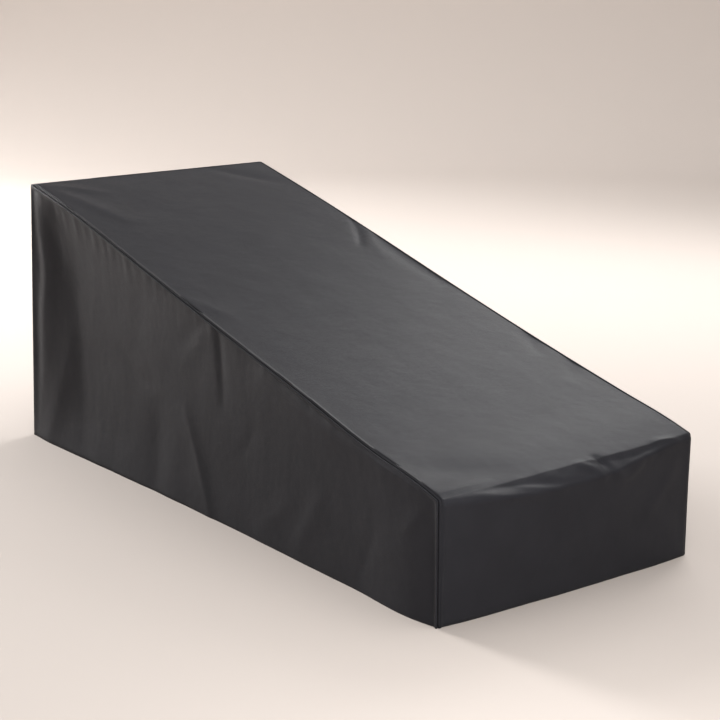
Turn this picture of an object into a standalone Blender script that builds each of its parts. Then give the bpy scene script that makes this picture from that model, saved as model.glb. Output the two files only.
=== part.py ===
"""Fitted cover for a chaise lounge: four sewn panels of coated cloth, hollow and open at the hem.

Metres, +Z up. The origin is on the floor under the middle of the cover. The head end is at +Y and
high, the foot end is at -Y and low, and the slope seams run along the cover's two long sides.
"""
import math
from collections import namedtuple

import bpy
import bmesh
import numpy as np

# Driving dimensions
LENGTH = 2.000           # between the foot and head corners, along the floor
WIDTH = 0.834            # between the slope seams at the foot
HEAD_HEIGHT = 0.814      # mean height of the two head corners
FOOT_HEIGHT = 0.317     # mean height of the two foot corners
HEM_FLARE = 0.024        # how far the head end's hem stands out past its top corners

CLOTH = 0.0015           # thickness of the sheet
SEAM_GAP = 0.0003        # between two sewn panels
LIP_RADIUS = 0.0025      # outer radius of the cloth where it turns in at a seam
SEAM_ALLOWANCE = 0.006   # straight part of the turned-in edge
LIP_STEPS = 2            # facets round each lip
FOOT_CORNER_RADIUS = 0.012
CORNER_POINTS = 3        # where a slope seam enters, crosses and leaves its rounded foot corner
HEM_STRIP = 0.008        # upright strip of cloth at the floor
FOOT_TURN_REACH = 0.010  # the cloth turns over the foot edge within this distance of it
KNEE_TURN_REACH = 0.008  # and at the shoulder's lower edge within this distance
SHOULDER_DEPTH = 0.050   # height of the band in which the cloth turns over the foot edge
TOP_SAG = 0.004          # how far the top dips between its side seams
SAG_REACH = 0.300        # the dip is full from this distance off the two ends
FOLD_FADE = 0.016        # folds die away over this distance from a seam
FOLD_TAPER = 0.12        # how far along its half wave a fold starts and ends
FOLD_SAMPLES = 14        # straight pieces that stand for each fold's bent line
POST_CLEAR = 0.016       # the nearest inner mesh line stays this far from the foot seam
SHARP_ANGLE = math.radians(35)

COVER_COLOUR = (0.030, 0.030, 0.033, 1.0)
COVER_ROUGHNESS = 0.55

X_AXIS = np.array((1.0, 0.0, 0.0))
Y_AXIS = np.array((0.0, 1.0, 0.0))
Z_AXIS = np.array((0.0, 0.0, 1.0))

# The four upright seams: how far each end stands from a true box of LENGTH by WIDTH.
Post = namedtuple("Post", "side end top_out top_along top_rise hem_out hem_along")
POSTS = {
    "foot_left": Post(-1, -1, 0.000, 0.006, -0.004, -0.004, 0.002),
    "foot_right": Post(1, -1, 0.004, -0.004, 0.008, -0.003, 0.002),
    "head_left": Post(-1, 1, 0.004, -0.002, -0.004, HEM_FLARE, 0.016),
    "head_right": Post(1, 1, 0.016, -0.006, 0.004, HEM_FLARE + 0.003, 0.017),
}

# Crown of the slope seams over a straight line from head to foot.
Crown = namedtuple("Crown", "along left right")
CROWNS = (
    Crown(-1.00, 0.000, 0.000),
    Crown(-0.93, 0.003, 0.003),
    Crown(-0.75, -0.005, -0.001),
    Crown(-0.45, -0.001, -0.005),
    Crown(0.00, 0.000, -0.003),
    Crown(0.35, 0.005, 0.002),
    Crown(0.76, 0.009, 0.003),
    Crown(1.00, 0.000, 0.000),
)

# Hem of the long sides: how far it stands out past WIDTH / 2.
SideHem = namedtuple("SideHem", "along left right")
SIDE_HEMS = (
    SideHem(-1.00, -0.004, -0.003),
    SideHem(-0.90, 0.006, 0.003),
    SideHem(-0.70, 0.000, 0.003),
    SideHem(-0.50, 0.001, 0.004),
    SideHem(-0.05, 0.000, 0.001),
    SideHem(0.27, 0.005, 0.006),
    SideHem(0.62, 0.014, 0.012),
    SideHem(0.92, HEM_FLARE, HEM_FLARE),
    SideHem(1.00, HEM_FLARE, HEM_FLARE + 0.003),
)

# Hem of the two ends: how far it bows out past the line between its corners.
EndHem = namedtuple("EndHem", "across foot head")
END_HEMS = (
    EndHem(-1.00, 0.000, 0.000),
    EndHem(-0.86, 0.008, 0.002),
    EndHem(-0.50, 0.011, 0.004),
    EndHem(-0.07, 0.020, 0.002),
    EndHem(0.38, 0.016, 0.004),
    EndHem(0.74, 0.018, 0.002),
    EndHem(1.00, 0.000, 0.000),
)

# The soft fold where the top turns down at the foot: a tilted shoulder, widest in the middle.
Shoulder = namedtuple("Shoulder", "across drop bow")
SHOULDERS = (
    Shoulder(-1.00, 0.030, 0.000),
    Shoulder(-0.68, 0.030, 0.006),
    Shoulder(-0.27, 0.044, 0.014),
    Shoulder(0.10, 0.047, 0.018),
    Shoulder(0.43, 0.043, 0.014),
    Shoulder(0.68, 0.030, 0.008),
    Shoulder(1.00, 0.030, 0.000),
)

# Folds: soft ridges (rise > 0) and troughs (rise < 0) along a bent line on a panel.
# Sides: (along, height). Top: (across, along). Front and back: (across, height).
Fold = namedtuple("Fold", "start bend end width rise")
LEFT_FOLDS = (
    Fold((0.985, 0.790), (0.925, 0.420), (0.985, 0.020), 0.035, 0.007),    # ridge by the head seam
    Fold((0.900, 0.740), (0.680, 0.480), (0.670, 0.000), 0.065, -0.011),   # fan from the head corner
    Fold((0.830, 0.280), (0.890, 0.150), (0.950, 0.020), 0.032, 0.006),    # wedge inside the fan
    Fold((0.790, 0.090), (0.770, 0.050), (0.770, 0.000), 0.030, -0.004),
    Fold((-0.068, 0.530), (-0.078, 0.440), (-0.098, 0.330), 0.020, -0.010),  # pinch under the seam
    Fold((-0.030, 0.515), (0.030, 0.460), (0.120, 0.390), 0.032, -0.005),
    Fold((0.110, 0.270), (0.035, 0.160), (-0.035, 0.000), 0.022, -0.010),  # crease down to the hem
    Fold((0.060, 0.250), (-0.010, 0.150), (-0.080, 0.000), 0.030, 0.004),
    Fold((0.265, 0.220), (0.270, 0.100), (0.270, 0.000), 0.038, -0.006),
    Fold((0.480, 0.370), (0.380, 0.290), (0.290, 0.310), 0.035, -0.004),
    Fold((-0.290, 0.460), (-0.520, 0.345), (-0.930, 0.330), 0.034, 0.009),   # long roll under the seam
    Fold((-0.320, 0.410), (-0.480, 0.250), (-0.930, 0.280), 0.052, -0.012),  # and the valley below it
    Fold((-0.270, 0.040), (-0.330, 0.090), (-0.400, 0.140), 0.030, 0.003),
    Fold((-0.440, 0.040), (-0.480, 0.100), (-0.540, 0.160), 0.030, 0.004),
    Fold((-0.230, 0.290), (-0.200, 0.250), (-0.160, 0.205), 0.025, -0.004),
    Fold((-0.750, 0.140), (-0.735, 0.090), (-0.715, 0.040), 0.025, -0.003),
    Fold((-0.955, 0.290), (-0.945, 0.160), (-0.955, 0.000), 0.032, -0.007),  # dip by the foot seam
    Fold((-0.965, 0.290), (-0.925, 0.245), (-0.870, 0.200), 0.025, 0.003),
)
RIGHT_FOLDS = (
    Fold((0.980, 0.780), (0.930, 0.400), (0.980, 0.020), 0.040, 0.005),
    Fold((0.880, 0.720), (0.720, 0.450), (0.700, 0.000), 0.070, -0.008),
    Fold((0.250, 0.330), (0.220, 0.160), (0.170, 0.000), 0.045, -0.006),
    Fold((-0.360, 0.430), (-0.560, 0.300), (-0.900, 0.300), 0.050, -0.007),
    Fold((-0.955, 0.290), (-0.945, 0.160), (-0.955, 0.000), 0.035, -0.005),
)
TOP_FOLDS = (
    Fold((-0.380, 0.960), (-0.320, 0.920), (-0.240, 0.860), 0.032, 0.003),
    Fold((-0.385, 0.930), (-0.350, 0.820), (-0.290, 0.640), 0.036, 0.004),
    Fold((0.230, 0.955), (0.290, 0.890), (0.365, 0.810), 0.034, -0.004),
    Fold((0.415, 0.480), (0.380, 0.370), (0.320, 0.280), 0.028, -0.007),   # notch at the right seam
    Fold((0.410, 0.370), (0.375, 0.290), (0.340, 0.200), 0.028, 0.004),
    Fold((0.405, 0.300), (0.390, 0.150), (0.400, -0.020), 0.030, -0.005),
    Fold((-0.395, 0.100), (-0.360, 0.030), (-0.330, -0.050), 0.030, 0.002),
    Fold((0.405, -0.380), (0.385, -0.430), (0.360, -0.480), 0.025, -0.004),
    Fold((0.405, -0.560), (0.380, -0.600), (0.350, -0.630), 0.025, -0.004),
    Fold((-0.360, -0.880), (-0.300, -0.920), (-0.200, -0.940), 0.050, -0.006),  # hollow by the corner
    Fold((-0.390, -0.985), (-0.340, -0.990), (-0.260, -0.985), 0.022, 0.004),
)
FRONT_FOLDS = (
    Fold((-0.385, 0.290), (-0.380, 0.150), (-0.385, 0.000), 0.022, -0.005),  # dip by the left seam
    Fold((-0.375, 0.285), (-0.350, 0.220), (-0.320, 0.120), 0.026, 0.004),
    Fold((-0.175, 0.300), (-0.150, 0.292), (-0.110, 0.280), 0.018, 0.005),   # crumples on the shoulder
    Fold((-0.120, 0.308), (-0.070, 0.290), (-0.020, 0.275), 0.020, -0.005),
    Fold((0.055, 0.312), (0.075, 0.290), (0.080, 0.262), 0.024, 0.006),
    Fold((0.105, 0.318), (0.125, 0.290), (0.150, 0.255), 0.022, -0.009),     # the deepest pinch
    Fold((0.190, 0.312), (0.210, 0.292), (0.240, 0.270), 0.026, 0.005),
    Fold((0.345, 0.240), (0.300, 0.200), (0.260, 0.160), 0.028, 0.003),
    Fold((0.280, 0.140), (0.350, 0.070), (0.395, 0.010), 0.030, 0.003),
    Fold((0.385, 0.290), (0.378, 0.150), (0.385, 0.000), 0.024, -0.003),
)
BACK_FOLDS = (
    Fold((-0.395, 0.760), (-0.350, 0.400), (-0.360, 0.000), 0.050, -0.007),
    Fold((0.395, 0.760), (0.340, 0.420), (0.350, 0.000), 0.050, -0.006),
    Fold((-0.120, 0.500), (-0.080, 0.250), (-0.090, 0.000), 0.060, 0.005),
    Fold((0.140, 0.420), (0.160, 0.200), (0.150, 0.000), 0.050, -0.004),
)

# Spacing of the mesh lines: so many steps up to each place.
Run = namedtuple("Run", "upto steps")
SLOPE_STATIONS = (Run(-0.86, 4), Run(-0.16, 14), Run(0.00, 6), Run(0.40, 8), Run(0.93, 13), Run(1.0, 2))
TOP_COLUMNS = (Run(-0.92, 2), Run(-0.44, 4), Run(0.10, 5), Run(0.40, 5), Run(0.92, 4), Run(1.0, 2))
BACK_COLUMNS = (Run(-0.90, 2), Run(0.90, 9), Run(1.0, 2))
LEFT_ROWS = 13
RIGHT_ROWS = 8
BACK_ROWS = 10
FRONT_ROWS = 6


def clear_scene():
    for item in list(bpy.data.objects):
        bpy.data.objects.remove(item, do_unlink=True)


def unit(vector):
    return vector / np.linalg.norm(vector)


def smooth_curve(places, values, at):
    """Read a smooth curve through the given points, held level past its two ends."""
    places = np.asarray(places, float)
    values = np.asarray(values, float)
    at = np.clip(at, places[0], places[-1])
    slopes = np.gradient(values, places)
    piece = np.clip(np.searchsorted(places, at) - 1, 0, len(places) - 2)
    span = places[piece + 1] - places[piece]
    t = (at - places[piece]) / span
    low = (1 + 2 * t) * (1 - t) ** 2 * values[piece] + t * (1 - t) ** 2 * span * slopes[piece]
    high = t * t * (3 - 2 * t) * values[piece + 1] - t * t * (1 - t) * span * slopes[piece + 1]
    return low + high


def column(table, place, value, at):
    """Read one named column of a table at a place."""
    places = [getattr(row, place) for row in table]
    values = [getattr(row, value) for row in table]
    return smooth_curve(places, values, at)


def ease(distance, reach):
    """0 at a seam, 1 from the given distance on."""
    t = np.clip(distance / reach, 0.0, 1.0)
    return t * t * (3 - 2 * t)


def relief(folds, u, v):
    """Sum of the soft folds at panel coordinates u, v."""
    u = np.asarray(u, float)
    v = np.asarray(v, float)
    total = np.zeros_like(u)
    steps = np.linspace(0.0, 1.0, FOLD_SAMPLES + 1)
    for fold in folds:
        start, bend, end = (np.array(p) for p in (fold.start, fold.bend, fold.end))
        line = [(1 - t) ** 2 * start + 2 * t * (1 - t) * bend + t * t * end for t in steps]
        nearest = np.full(u.shape, np.inf)
        place = np.zeros(u.shape)
        for index, (a, b) in enumerate(zip(line[:-1], line[1:])):
            along = b - a
            t = ((u - a[0]) * along[0] + (v - a[1]) * along[1]) / along.dot(along)
            t = np.clip(t, 0.0, 1.0)
            away = np.hypot(u - a[0] - t * along[0], v - a[1] - t * along[1])
            closer = away < nearest
            nearest = np.where(closer, away, nearest)
            place = np.where(closer, (index + t) / FOLD_SAMPLES, place)
        half_wave = math.pi * (FOLD_TAPER + (1 - 2 * FOLD_TAPER) * place)
        total += fold.rise * np.sqrt(np.sin(half_wave)) * np.exp(-(nearest / fold.width) ** 2)
    return total


def spread(runs, start=-1.0):
    """Mesh line places from -1 to 1, closer together where a run has more steps."""
    places = [start]
    for run in runs:
        first = places[-1]
        places += [first + (run.upto - first) * (i + 1) / run.steps for i in range(run.steps)]
    return np.array(places)


def slope_places():
    """Places of the mesh lines down the slope, from the head corner to just before the foot corner."""
    return spread(SLOPE_STATIONS)[1:][::-1]


def post_top(name):
    post = POSTS[name]
    mean_height = HEAD_HEIGHT if post.end > 0 else FOOT_HEIGHT
    x = post.side * (WIDTH / 2 + post.top_out)
    y = post.end * (LENGTH / 2 + post.top_along)
    return np.array((x, y, mean_height + post.top_rise))


def post_hem(name):
    post = POSTS[name]
    x = post.side * (WIDTH / 2 + post.hem_out)
    y = post.end * (LENGTH / 2 + post.hem_along)
    return np.array((x, y, 0.0))


def side_name(side):
    return "left" if side < 0 else "right"


def slope_point(side, place):
    """Point of a slope seam, place -1 at the foot corner and 1 at the head corner."""
    foot = post_top("foot_" + side_name(side))
    head = post_top("head_" + side_name(side))
    point = foot + (head - foot) * (place + 1) / 2
    point[2] += column(CROWNS, "along", side_name(side), place)
    return point


# A seam is a list of stations: its point, the way it runs, and the normals of the two panels there.
Station = namedtuple("Station", "point run first second")


def side_outward(side):
    return X_AXIS * side


def top_outward(run):
    """Outward normal of the top or front panel, from the way its side seam runs towards the hem."""
    return unit(np.cross(run, X_AXIS))


def slope_seam(side, places, heights):
    """Seam from the head corner down the slope, round the foot corner and down to the hem.

    places run from head to foot; heights are shares of the foot post, from its top to the hem.
    The first normal belongs to the side panel and the second to the top and front panel.
    """
    foot = post_top("foot_" + side_name(side))
    hem = post_hem("foot_" + side_name(side))
    down = unit(hem - foot)
    last = slope_point(side, places[-1])
    along = unit(foot - last)
    turn = math.acos(along.dot(down))
    reach = FOOT_CORNER_RADIUS * math.tan(turn / 2)
    enter = foot - along * reach
    leave = foot + down * reach
    inset = FOOT_CORNER_RADIUS / math.cos(turn / 2) - FOOT_CORNER_RADIUS
    middle = foot + unit(enter + leave - 2 * foot) * inset
    points = [slope_point(side, p) for p in places] + [enter, middle, leave]
    points += [leave + (hem - leave) * h for h in heights]
    stations = []
    for index, point in enumerate(points):
        before = points[max(index - 1, 0)]
        after = points[min(index + 1, len(points) - 1)]
        run = unit(after - before)
        if index >= len(places) + CORNER_POINTS - 1:
            run = down
        outward = top_outward(run)
        if index == len(points) - 1:
            run = -Z_AXIS
        stations.append(Station(point, run, side_outward(side), outward))
    return stations


def head_post_seam(side, heights):
    """Seam from the head corner down to the hem; the first normal is the side panel's."""
    top = post_top("head_" + side_name(side))
    hem = post_hem("head_" + side_name(side))
    stations = []
    for share in heights:
        run = -Z_AXIS if share == 1.0 else unit(hem - top)
        stations.append(Station(top + (hem - top) * share, run, side_outward(side), Y_AXIS))
    return stations


def head_top_seam(shares):
    """Seam along the top of the back, from left to right; the first normal is the top panel's."""
    left = post_top("head_left")
    right = post_top("head_right")
    outward = top_outward(unit(slope_point(-1, 0.9) - slope_point(-1, 1.0)))
    return [Station(left + (right - left) * (s + 1) / 2, X_AXIS, outward, Y_AXIS) for s in shares]


def swapped(stations):
    return [Station(s.point, s.run, s.second, s.first) for s in stations]


def lip_steps(own, other):
    """(depth below the panel, distance from the seam plane) of the cloth as it turns in at a seam."""
    between = math.acos(np.clip(own.dot(other), -1.0, 1.0))
    half = (math.pi - between) / 2
    centre_off = SEAM_GAP / 2 + LIP_RADIUS
    centre_in = (LIP_RADIUS + centre_off * math.cos(half)) / math.sin(half)
    first = math.pi / 2 + half
    sweep = 1.5 * math.pi - first
    pairs = []
    for step in range(LIP_STEPS + 1):
        angle = first + sweep * step / LIP_STEPS
        pairs.append((centre_in + LIP_RADIUS * math.cos(angle), centre_off + LIP_RADIUS * math.sin(angle)))
    pairs.append((centre_in + SEAM_ALLOWANCE, SEAM_GAP / 2))
    return [(inward * math.sin(half) - off * math.cos(half), off) for inward, off in pairs]


def lip_points(station):
    """Points of the turned-in edge at one station of a seam, for the first normal's panel."""
    plane = unit(station.first - station.second)
    matrix = np.array((station.first, plane, station.run))
    steps = lip_steps(station.first, station.second)
    return [station.point + np.linalg.solve(matrix, (-depth, off, 0.0)) for depth, off in steps]


def corner_points(one, two):
    """Points of the turned-in edge where two seams of one panel meet."""
    plane_one = unit(one.first - one.second)
    plane_two = unit(two.first - two.second)
    matrix = np.array((one.first, plane_one, plane_two))
    steps_one = lip_steps(one.first, one.second)
    steps_two = lip_steps(two.first, two.second)
    points = []
    for (depth_one, off_one), (depth_two, off_two) in zip(steps_one, steps_two):
        depth = (depth_one + depth_two) / 2
        points.append(one.point + np.linalg.solve(matrix, (-depth, off_one, off_two)))
    return points


def sewn_edge(seams):
    """Lip points round a panel's seams in order; where one seam ends the next begins."""
    rows = []
    for index, seam in enumerate(seams):
        inner = seam[1 if index else 0:-1 if index < len(seams) - 1 else None]
        if index:
            rows.append(corner_points(seams[index - 1][-1], seam[0]))
        rows += [lip_points(station) for station in inner]
    return rows


def sheet_object(name, grid, border, lips, outward):
    """One panel: a grid of points, its sewn edges turned in, thickened inwards into a closed sheet."""
    rows, columns = grid.shape[:2]
    for (row, col), points in zip(border, lips):
        grid[row, col] = points[0]
    mesh = bpy.data.meshes.new(name)
    sheet = bmesh.new()
    verts = [[sheet.verts.new(grid[r, c]) for c in range(columns)] for r in range(rows)]
    for r in range(rows - 1):
        for c in range(columns - 1):
            sheet.faces.new((verts[r][c], verts[r][c + 1], verts[r + 1][c + 1], verts[r + 1][c]))
    strands = [[verts[r][c]] + [sheet.verts.new(p) for p in points[1:]]
               for (r, c), points in zip(border, lips)]
    for one, two in zip(strands[:-1], strands[1:]):
        for level in range(len(one) - 1):
            sheet.faces.new((one[level], two[level], two[level + 1], one[level + 1]))
    bmesh.ops.recalc_face_normals(sheet, faces=sheet.faces)
    sheet.faces.ensure_lookup_table()
    facing = sheet.faces[(rows // 2) * (columns - 1) + columns // 2]
    if facing.normal.dot(outward) < 0:
        bmesh.ops.reverse_faces(sheet, faces=sheet.faces)
    bmesh.ops.triangulate(sheet, faces=sheet.faces)
    sheet.to_mesh(mesh)
    sheet.free()
    panel = bpy.data.objects.new(name, mesh)
    bpy.context.collection.objects.link(panel)
    mesh.materials.append(cloth_material(name + "_cloth"))
    thick = panel.modifiers.new("thickness", "SOLIDIFY")
    thick.thickness = CLOTH
    thick.offset = -1.0
    thick.use_even_offset = True
    mesh.shade_smooth()
    mesh.set_sharp_from_angle(angle=SHARP_ANGLE)
    return panel


def cloth_material(name):
    material = bpy.data.materials.new(name)
    material.use_nodes = True
    shader = material.node_tree.nodes["Principled BSDF"]
    shader.inputs["Base Color"].default_value = COVER_COLOUR
    shader.inputs["Roughness"].default_value = COVER_ROUGHNESS
    shader.inputs["Metallic"].default_value = 0.0
    return material


def height_shares(count, height):
    """Shares of a wall's height from its top to the hem, ending in the upright hem strip."""
    shares = np.linspace(0.0, 1.0 - HEM_STRIP / height, count + 1)
    return np.append(shares, 1.0)


def side_panel(side, row_count, folds):
    name = side_name(side)
    places = slope_places()
    foot_top = post_top("foot_" + name)[2]
    below_corner = height_shares(row_count, foot_top)[CORNER_POINTS - 1:]
    slope = slope_seam(side, places, post_shares(side, places, foot_top * (1 - below_corner)))
    corner = len(places) + CORNER_POINTS // 2
    top_line = [station.point for station in slope[:corner + 1]]
    hem_foot = post_hem("foot_" + name)
    hem_head = post_hem("head_" + name)
    head_post = head_post_seam(side, height_shares(row_count, post_top("head_" + name)[2]))
    rows = row_count + 2
    grid = np.zeros((rows, len(top_line), 3))
    foot_y = top_line[-1][1]
    head_y = top_line[0][1]
    for c, top in enumerate(top_line):
        share = (top[1] - foot_y) / (head_y - foot_y)
        y = hem_foot[1] + (hem_head[1] - hem_foot[1]) * share
        out = column(SIDE_HEMS, "along", name, 2 * share - 1)
        hem = np.array((side * (WIDTH / 2 + out), y, 0.0))
        for r, down in enumerate(height_shares(row_count, top[2])):
            reach = min(down / (1.0 - HEM_STRIP / top[2]), 1.0)
            point = top + (hem - top) * reach
            point[2] = top[2] * (1 - down)
            post_y = foot_y + (hem_foot[1] - foot_y) * reach
            point[1] = max(point[1], post_y + POST_CLEAR * ease(reach * top[2], FOLD_FADE))
            seam_away = min(head_y - point[1], point[1] - foot_y, reach * top[2])
            fade = ease(max(seam_away, 0.0), FOLD_FADE)
            height = point[2] if down < 1.0 else HEM_STRIP
            point[0] += side * fade * float(relief(folds, point[1], height))
            grid[r, c] = point
    last = len(top_line) - 1
    border = [(r, 0) for r in range(rows - 1, -1, -1)] + [(0, c) for c in range(1, last + 1)]
    border += [(r, last) for r in range(1, rows)]
    lips = sewn_edge([head_post[::-1], slope])
    return sheet_object("side_panel_" + name, grid, border, lips, X_AXIS * side)


def shoulder_rows(top_edge, slope_run, hem, place):
    """Section of the cloth over the foot edge at one place across: points from the slope to the hem."""
    drop = column(SHOULDERS, "across", "drop", place)
    bow = column(SHOULDERS, "across", "bow", place)
    knee = top_edge + np.array((0.0, -bow, -drop))
    facet = unit(knee - top_edge)
    enter = top_edge - slope_run * FOOT_TURN_REACH
    leave = top_edge + facet * FOOT_TURN_REACH
    middle = (enter + leave + 2 * top_edge) / 4
    before = knee - facet * KNEE_TURN_REACH
    after = knee + unit(hem - knee) * KNEE_TURN_REACH
    points = [enter, middle, leave, (leave + before) / 2, before, after]
    for share in height_shares(FRONT_ROWS, after[2])[1:]:
        reach = min(share / (1.0 - HEM_STRIP / after[2]), 1.0)
        point = after + (hem - after) * reach
        point[2] = after[2] * (1 - share)
        points.append(point)
    return points


def top_front_panel():
    places = slope_places()
    across = spread(TOP_COLUMNS)
    foot_left, foot_right = post_top("foot_left"), post_top("foot_right")
    hem_left, hem_right = post_hem("foot_left"), post_hem("foot_right")
    tilt = top_outward(unit(foot_left - post_top("head_left")))
    columns = []
    for place in across:
        share = (place + 1) / 2
        edge = ease(min(share, 1 - share) * WIDTH, FOLD_FADE)
        points = []
        for along in places:
            point = slope_point(-1, along) + (slope_point(1, along) - slope_point(-1, along)) * share
            fade = edge * ease((1 - along) * LENGTH / 2, FOLD_FADE)
            sag = -TOP_SAG * (1 - place ** 2) * ease((1 - abs(along)) * LENGTH / 2, SAG_REACH)
            points.append(point + tilt * (fade * float(relief(TOP_FOLDS, point[0], point[1])) + sag))
        top_edge = foot_left + (foot_right - foot_left) * share
        slope_run = unit(top_edge - points[-1])
        hem = hem_left + (hem_right - hem_left) * share
        hem[1] -= column(END_HEMS, "across", "foot", place)
        for point in shoulder_rows(top_edge, slope_run, hem, place):
            height = max(point[2], HEM_STRIP)
            bulge = edge * float(relief(FRONT_FOLDS, point[0], height))
            tip = ease(height - FOOT_HEIGHT + SHOULDER_DEPTH, SHOULDER_DEPTH)
            points.append(point + unit(-Y_AXIS + Z_AXIS * tip) * bulge)
        columns.append(points)
    grid = np.stack(columns, axis=1)
    rows, last = len(grid), len(across) - 1
    below_corner = grid[len(places) + CORNER_POINTS:, :, 2]
    left = swapped(slope_seam(-1, places, post_shares(-1, places, below_corner[:, 0])))
    right = swapped(slope_seam(1, places, post_shares(1, places, below_corner[:, last])))
    border = [(r, 0) for r in range(rows - 1, -1, -1)] + [(0, c) for c in range(1, last + 1)]
    border += [(r, last) for r in range(1, rows)]
    lips = sewn_edge([left[::-1], head_top_seam(across), right])
    return sheet_object("top_front_panel", grid, border, lips, Z_AXIS)


def post_shares(side, places, heights):
    """Heights on a foot post as shares of its straight part below the rounded corner."""
    leave = slope_seam(side, places, [1.0])[len(places) + CORNER_POINTS - 1].point[2]
    return [(leave - height) / leave for height in heights]


def back_panel():
    across = spread(BACK_COLUMNS)
    left, right = post_top("head_left"), post_top("head_right")
    hem_left, hem_right = post_hem("head_left"), post_hem("head_right")
    rows = BACK_ROWS + 2
    grid = np.zeros((rows, len(across), 3))
    for c, place in enumerate(across):
        share = (place + 1) / 2
        top = left + (right - left) * share
        hem = hem_left + (hem_right - hem_left) * share
        hem[1] += column(END_HEMS, "across", "head", place)
        edge = ease(min(share, 1 - share) * WIDTH, FOLD_FADE)
        for r, down in enumerate(height_shares(BACK_ROWS, top[2])):
            reach = min(down / (1.0 - HEM_STRIP / top[2]), 1.0)
            point = top + (hem - top) * reach
            point[2] = top[2] * (1 - down)
            fade = edge * ease(reach * top[2], FOLD_FADE)
            point[1] += fade * float(relief(BACK_FOLDS, point[0], max(point[2], HEM_STRIP)))
            grid[r, c] = point
    last = len(across) - 1
    shares = height_shares(BACK_ROWS, left[2])
    border = [(r, 0) for r in range(rows - 1, -1, -1)] + [(0, c) for c in range(1, last + 1)]
    border += [(r, last) for r in range(1, rows)]
    seams = [swapped(head_post_seam(-1, shares))[::-1], swapped(head_top_seam(across)),
             swapped(head_post_seam(1, shares))]
    return sheet_object("back_panel", grid, border, sewn_edge(seams), Y_AXIS)


def main():
    clear_scene()
    top_front_panel()
    side_panel(-1, LEFT_ROWS, LEFT_FOLDS)
    side_panel(1, RIGHT_ROWS, RIGHT_FOLDS)
    back_panel()


main()
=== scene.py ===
"""Looks of a fitted cover for a chaise lounge: four sewn panels of dark coated cloth.

Metres, +Z up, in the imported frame: the high head end is at +Y and the low foot end at -Y.
"""
import math
from collections import namedtuple

import bmesh
import bpy
import numpy as np
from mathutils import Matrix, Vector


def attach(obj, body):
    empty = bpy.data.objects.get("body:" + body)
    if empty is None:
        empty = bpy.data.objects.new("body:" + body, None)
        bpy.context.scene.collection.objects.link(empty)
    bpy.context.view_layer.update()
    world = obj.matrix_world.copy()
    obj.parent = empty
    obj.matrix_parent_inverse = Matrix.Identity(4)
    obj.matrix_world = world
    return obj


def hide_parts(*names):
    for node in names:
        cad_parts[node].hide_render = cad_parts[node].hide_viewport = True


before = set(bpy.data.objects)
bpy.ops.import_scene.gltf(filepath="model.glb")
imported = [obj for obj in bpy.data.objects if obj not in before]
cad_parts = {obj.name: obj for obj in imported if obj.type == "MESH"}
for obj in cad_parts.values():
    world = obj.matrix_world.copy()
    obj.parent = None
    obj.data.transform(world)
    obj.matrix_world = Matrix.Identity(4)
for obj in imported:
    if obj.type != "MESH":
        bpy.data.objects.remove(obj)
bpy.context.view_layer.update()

# The same driving dimensions as the solids.
LENGTH = 2.000           # between the foot and head corners, along the floor
WIDTH = 0.834            # between the slope seams at the foot
HEAD_HEIGHT = 0.814      # mean height of the two head corners
FOOT_HEIGHT = 0.317      # mean height of the two foot corners
HEM_FLARE = 0.024        # how far the head end's hem stands out past its top corners

# The cloth, its seams and its bends.
CLOTH = 0.0015           # thickness of the sheet
SEAM_GAP = 0.0003        # between two sewn panels
TOP_LIP_RADIUS = 0.0040  # outer radius of the top panel's cloth where it turns in at a seam
SIDE_LIP_RADIUS = 0.0020  # the same for the side and back panels
SEAM_ALLOWANCE = 0.006   # straight part of the turned-in edge
FOOT_CORNER_RADIUS = 0.012  # bend of a slope seam at its foot corner
TOP_TURN_RADIUS = 0.014  # bend of the cloth over the foot edge
KNEE_TURN_RADIUS = 0.012  # bend at the lower edge of the shoulder
TOP_SAG = 0.004          # how far the top dips between its side seams
SAG_REACH = 0.300        # the dip is full from this distance off the two ends
HEM_EASE = 0.030         # a side's hem leaves its two corners over this distance

# The mesh.
CELL = 0.0062            # size of the mesh squares along the slope
TOP_CELL = 1.15 * CELL   # and across the top and front
BACK_CELL = 1.3 * CELL   # and across the back
LIP_CELL = 0.009         # first mesh line this far from a seam
ROW_GRADING = 1.25       # rows of a wall lie closer together near its top seam
LEFT_ROWS = 100          # down the left side
RIGHT_ROWS = 60          # down the right side
BACK_ROWS = 80           # down the back
FACET_ROWS = 13          # down the shoulder
WALL_ROWS = 32           # from the shoulder down to the foot hem
CORNER_POINTS = 7        # points round each bend at the foot
LIP_STEPS = 5            # facets round each lip
POST_START = 0.02        # below its rounded corner, a foot post's mesh lines start at this share

# How folds fade and how their sections are shaped.
FOLD_FADE = 0.012        # folds die away over this distance from a seam's lip
FOLD_CLEAR = 0.7 * LIP_CELL  # and on the top and back they are gone this far from the seam
FOLD_TAPER = 0.10        # how far along its half wave a fold starts and ends
FOLD_SAMPLES = 16        # straight pieces that stand for each fold's bent line
SHARP_TIP = 0.15         # rounding of a sharp fold's tip, as a share of its width
SHARP_FALL = 1.3         # how fast a sharp fold falls away from its tip
TURN_START = 0.010       # folds start to lean forward this far before the foot edge
TURN_REACH = 0.070       # and rise straight out of the front this much further on

X_AXIS = np.array((1.0, 0.0, 0.0))
Y_AXIS = np.array((0.0, 1.0, 0.0))
Z_AXIS = np.array((0.0, 0.0, 1.0))

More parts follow.
